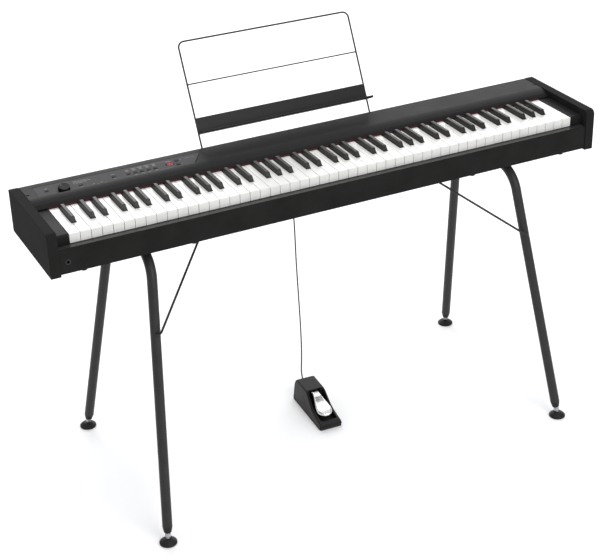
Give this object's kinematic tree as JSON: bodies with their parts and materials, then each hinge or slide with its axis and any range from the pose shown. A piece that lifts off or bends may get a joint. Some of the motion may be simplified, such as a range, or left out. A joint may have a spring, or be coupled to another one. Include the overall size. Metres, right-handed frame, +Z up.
{
  "type": "digital piano",
  "caption": "Slim stage piano on two splayed tubular leg frames, with a full weighted keyboard, sloped control plate, wire music rest and damper pedal on a cord.",
  "frame": {"origin": "on the floor, below the middle of the case and the four feet", "axes": "+X to the treble end along the keyboard, +Y to the back of the case, +Z up; the player is at -Y"},
  "size_m": [1.327, 0.5574, 0.933],
  "materials": {
    "case_vinyl": "matte black vinyl foil on board",
    "case_plastic": "fine moulded grain",
    "panel_plastic": "fine moulded grain",
    "control_plastic": "smooth matte print base",
    "red_felt": "wool felt",
    "bed_steel": "galvanised sheet",
    "shaft_steel": "drawn rod",
    "board_laminate": "coated laminate",
    "display_glass": "smoked window",
    "jack_plastic": "moulded",
    "knob_plastic": "soft touch",
    "button_plastic": "moulded",
    "white_key_plastic": "polished",
    "black_key_plastic": "fine grain",
    "black_wire": "black powder coat",
    "black_sheet": "black powder coat",
    "socket_plastic": "moulded",
    "leg_paint": "charcoal satin powder coat",
    "screw_zinc": "zinc plated",
    "plug_plastic": "moulded",
    "foot_rubber": "moulded",
    "pedal_plastic": "satin moulded",
    "sole_rubber": "ribbed",
    "lever_chrome": "bright plate",
    "cord_rubber": "smooth jacket",
    "plug_moulding": "overmoulded"
  },
  "bodies": {
    "piano": {"bottom_board": "case_vinyl", "case_feet": "foot_rubber", "contact_board": "board_laminate", "control_panel": "control_plastic", "display_module": "display_glass", "felt_strip": "red_felt", "frame_screws": "screw_zinc", "front_rail": "case_vinyl", "jacks": "jack_plastic", "key_blocks": "case_plastic", "key_chassis": "bed_steel", "key_shaft": "shaft_steel", "left_cheek": "case_vinyl", "left_leg_frame": "leg_paint", "leg_braces": "black_wire", "leg_plugs": "plug_plastic", "main_board": "board_laminate", "panel_board": "board_laminate", "pedal_cord": "cord_rubber", "pedal_housing": "pedal_plastic", "pedal_pin": "shaft_steel", "pedal_plug": "plug_moulding", "pedal_sole": "sole_rubber", "rear_panel": "case_vinyl", "rest_sockets": "socket_plastic", "right_cheek": "case_vinyl", "right_leg_frame": "leg_paint", "top_panel": "panel_plastic"},
    "black_key_a_sharp": {"black_key_a_sharp": "black_key_plastic"},
    "black_key_c_sharp": {"black_key_c_sharp": "black_key_plastic"},
    "black_key_d_sharp": {"black_key_d_sharp": "black_key_plastic"},
    "black_key_f_sharp": {"black_key_f_sharp": "black_key_plastic"},
    "black_key_g_sharp": {"black_key_g_sharp": "black_key_plastic"},
    "function_button_left": {"function_button_left": "button_plastic"},
    "function_button_right": {"function_button_right": "button_plastic"},
    "other_black_keys": {"other_black_keys": "black_key_plastic"},
    "other_white_keys": {"other_white_keys": "white_key_plastic"},
    "power_button": {"power_button": "button_plastic"},
    "sound_button_1": {"sound_button_1": "button_plastic"},
    "sound_button_2": {"sound_button_2": "button_plastic"},
    "sound_button_3": {"sound_button_3": "button_plastic"},
    "sound_button_4": {"sound_button_4": "button_plastic"},
    "sound_button_5": {"sound_button_5": "button_plastic"},
    "value_down_button": {"value_down_button": "button_plastic"},
    "value_up_button": {"value_up_button": "button_plastic"},
    "white_key_a": {"white_key_a": "white_key_plastic"},
    "white_key_b": {"white_key_b": "white_key_plastic"},
    "white_key_c": {"white_key_c": "white_key_plastic"},
    "white_key_d": {"white_key_d": "white_key_plastic"},
    "white_key_e": {"white_key_e": "white_key_plastic"},
    "white_key_f": {"white_key_f": "white_key_plastic"},
    "white_key_g": {"white_key_g": "white_key_plastic"},
    "volume_knob": {"volume_knob": "knob_plastic"},
    "pedal_lever": {"pedal_lever": "lever_chrome"},
    "music_rest": {"rest_frame": "black_wire", "rest_ledge": "black_sheet"},
    "foot_front_left": {"foot_front_left": "foot_rubber"},
    "foot_front_right": {"foot_front_right": "foot_rubber"},
    "foot_rear_left": {"foot_rear_left": "foot_rubber"},
    "foot_rear_right": {"foot_rear_right": "foot_rubber"}
  },
  "joints": [
    {"name": "black_key_a_sharp_press", "type": "hinge", "parent": "piano", "child": "black_key_a_sharp", "pos_m": [0, 0.112, 0.6865], "axis": [1, 0, 0], "range_deg": [0, 2.6], "stiffness_Nm_per_rad": 0.4, "springref_deg": -17.19},
    {"name": "black_key_c_sharp_press", "type": "hinge", "parent": "piano", "child": "black_key_c_sharp", "pos_m": [0, 0.112, 0.6865], "axis": [1, 0, 0], "range_deg": [0, 2.6], "stiffness_Nm_per_rad": 0.4, "springref_deg": -17.19},
    {"name": "black_key_d_sharp_press", "type": "hinge", "parent": "piano", "child": "black_key_d_sharp", "pos_m": [0, 0.112, 0.6865], "axis": [1, 0, 0], "range_deg": [0, 2.6], "stiffness_Nm_per_rad": 0.4, "springref_deg": -17.19},
    {"name": "black_key_f_sharp_press", "type": "hinge", "parent": "piano", "child": "black_key_f_sharp", "pos_m": [0, 0.112, 0.6865], "axis": [1, 0, 0], "range_deg": [0, 2.6], "stiffness_Nm_per_rad": 0.4, "springref_deg": -17.19},
    {"name": "black_key_g_sharp_press", "type": "hinge", "parent": "piano", "child": "black_key_g_sharp", "pos_m": [0, 0.112, 0.6865], "axis": [1, 0, 0], "range_deg": [0, 2.6], "stiffness_Nm_per_rad": 0.4, "springref_deg": -17.19},
    {"name": "white_key_a_press", "type": "hinge", "parent": "piano", "child": "white_key_a", "pos_m": [0, 0.112, 0.6865], "axis": [1, 0, 0], "range_deg": [0, 2.6], "stiffness_Nm_per_rad": 0.4, "springref_deg": -17.19},
    {"name": "white_key_b_press", "type": "hinge", "parent": "piano", "child": "white_key_b", "pos_m": [0, 0.112, 0.6865], "axis": [1, 0, 0], "range_deg": [0, 2.6], "stiffness_Nm_per_rad": 0.4, "springref_deg": -17.19},
    {"name": "white_key_c_press", "type": "hinge", "parent": "piano", "child": "white_key_c", "pos_m": [0, 0.112, 0.6865], "axis": [1, 0, 0], "range_deg": [0, 2.6], "stiffness_Nm_per_rad": 0.4, "springref_deg": -17.19},
    {"name": "white_key_d_press", "type": "hinge", "parent": "piano", "child": "white_key_d", "pos_m": [0, 0.112, 0.6865], "axis": [1, 0, 0], "range_deg": [0, 2.6], "stiffness_Nm_per_rad": 0.4, "springref_deg": -17.19},
    {"name": "white_key_e_press", "type": "hinge", "parent": "piano", "child": "white_key_e", "pos_m": [0, 0.112, 0.6865], "axis": [1, 0, 0], "range_deg": [0, 2.6], "stiffness_Nm_per_rad": 0.4, "springref_deg": -17.19},
    {"name": "white_key_f_press", "type": "hinge", "parent": "piano", "child": "white_key_f", "pos_m": [0, 0.112, 0.6865], "axis": [1, 0, 0], "range_deg": [0, 2.6], "stiffness_Nm_per_rad": 0.4, "springref_deg": -17.19},
    {"name": "white_key_g_press", "type": "hinge", "parent": "piano", "child": "white_key_g", "pos_m": [0, 0.112, 0.6865], "axis": [1, 0, 0], "range_deg": [0, 2.6], "stiffness_Nm_per_rad": 0.4, "springref_deg": -17.19},
    {"name": "other_white_keys_press", "type": "hinge", "parent": "piano", "child": "other_white_keys", "pos_m": [0, 0.112, 0.6865], "axis": [1, 0, 0], "range_deg": [0, 2.6], "stiffness_Nm_per_rad": 18, "springref_deg": -17.19},
    {"name": "other_black_keys_press", "type": "hinge", "parent": "piano", "child": "other_black_keys", "pos_m": [0, 0.112, 0.6865], "axis": [1, 0, 0], "range_deg": [0, 2.6], "stiffness_Nm_per_rad": 12, "springref_deg": -17.19},
    {"name": "function_button_left_press", "type": "slide", "parent": "piano", "child": "function_button_left", "axis": [0, 0.2647, -0.9643], "range_m": [0, 0.001], "stiffness_N_per_m": 300, "springref_m": -0.002},
    {"name": "function_button_right_press", "type": "slide", "parent": "piano", "child": "function_button_right", "axis": [0, 0.2647, -0.9643], "range_m": [0, 0.001], "stiffness_N_per_m": 300, "springref_m": -0.002},
    {"name": "power_button_press", "type": "slide", "parent": "piano", "child": "power_button", "axis": [0, 0.2647, -0.9643], "range_m": [0, 0.001], "stiffness_N_per_m": 300, "springref_m": -0.002},
    {"name": "sound_button_1_press", "type": "slide", "parent": "piano", "child": "sound_button_1", "axis": [0, 0.2647, -0.9643], "range_m": [0, 0.001], "stiffness_N_per_m": 300, "springref_m": -0.002},
    {"name": "sound_button_2_press", "type": "slide", "parent": "piano", "child": "sound_button_2", "axis": [0, 0.2647, -0.9643], "range_m": [0, 0.001], "stiffness_N_per_m": 300, "springref_m": -0.002},
    {"name": "sound_button_3_press", "type": "slide", "parent": "piano", "child": "sound_button_3", "axis": [0, 0.2647, -0.9643], "range_m": [0, 0.001], "stiffness_N_per_m": 300, "springref_m": -0.002},
    {"name": "sound_button_4_press", "type": "slide", "parent": "piano", "child": "sound_button_4", "axis": [0, 0.2647, -0.9643], "range_m": [0, 0.001], "stiffness_N_per_m": 300, "springref_m": -0.002},
    {"name": "sound_button_5_press", "type": "slide", "parent": "piano", "child": "sound_button_5", "axis": [0, 0.2647, -0.9643], "range_m": [0, 0.001], "stiffness_N_per_m": 300, "springref_m": -0.002},
    {"name": "value_down_button_press", "type": "slide", "parent": "piano", "child": "value_down_button", "axis": [0, 0.2647, -0.9643], "range_m": [0, 0.001], "stiffness_N_per_m": 300, "springref_m": -0.002},
    {"name": "value_up_button_press", "type": "slide", "parent": "piano", "child": "value_up_button", "axis": [0, 0.2647, -0.9643], "range_m": [0, 0.001], "stiffness_N_per_m": 300, "springref_m": -0.002},
    {"name": "volume_turn", "type": "hinge", "parent": "piano", "child": "volume_knob", "pos_m": [-0.5555, 0.084, 0.71489], "axis": [0, -0.2647, 0.9643], "range_deg": [-140, 140]},
    {"name": "pedal_press", "type": "hinge", "parent": "piano", "child": "pedal_lever", "pos_m": [0.00972, 0.09393, 0.042], "axis": [0.9986, -0.0523, 0], "range_deg": [0, 6], "stiffness_Nm_per_rad": 6, "springref_deg": -8.59},
    {"name": "music_rest_lift", "type": "slide", "parent": "piano", "child": "music_rest", "axis": [0, 0, 1], "range_m": [0, 0.032]},
    {"name": "foot_front_left_level", "type": "slide", "parent": "piano", "child": "foot_front_left", "axis": [-0.1023, -0.2254, -0.9689], "range_m": [0, 0.012]},
    {"name": "foot_front_right_level", "type": "slide", "parent": "piano", "child": "foot_front_right", "axis": [0.1023, -0.2254, -0.9689], "range_m": [0, 0.012]},
    {"name": "foot_rear_left_level", "type": "slide", "parent": "piano", "child": "foot_rear_left", "axis": [-0.1023, 0.2254, -0.9689], "range_m": [0, 0.012]},
    {"name": "foot_rear_right_level", "type": "slide", "parent": "piano", "child": "foot_rear_right", "axis": [0.1023, 0.2254, -0.9689], "range_m": [0, 0.012]}
  ]
}
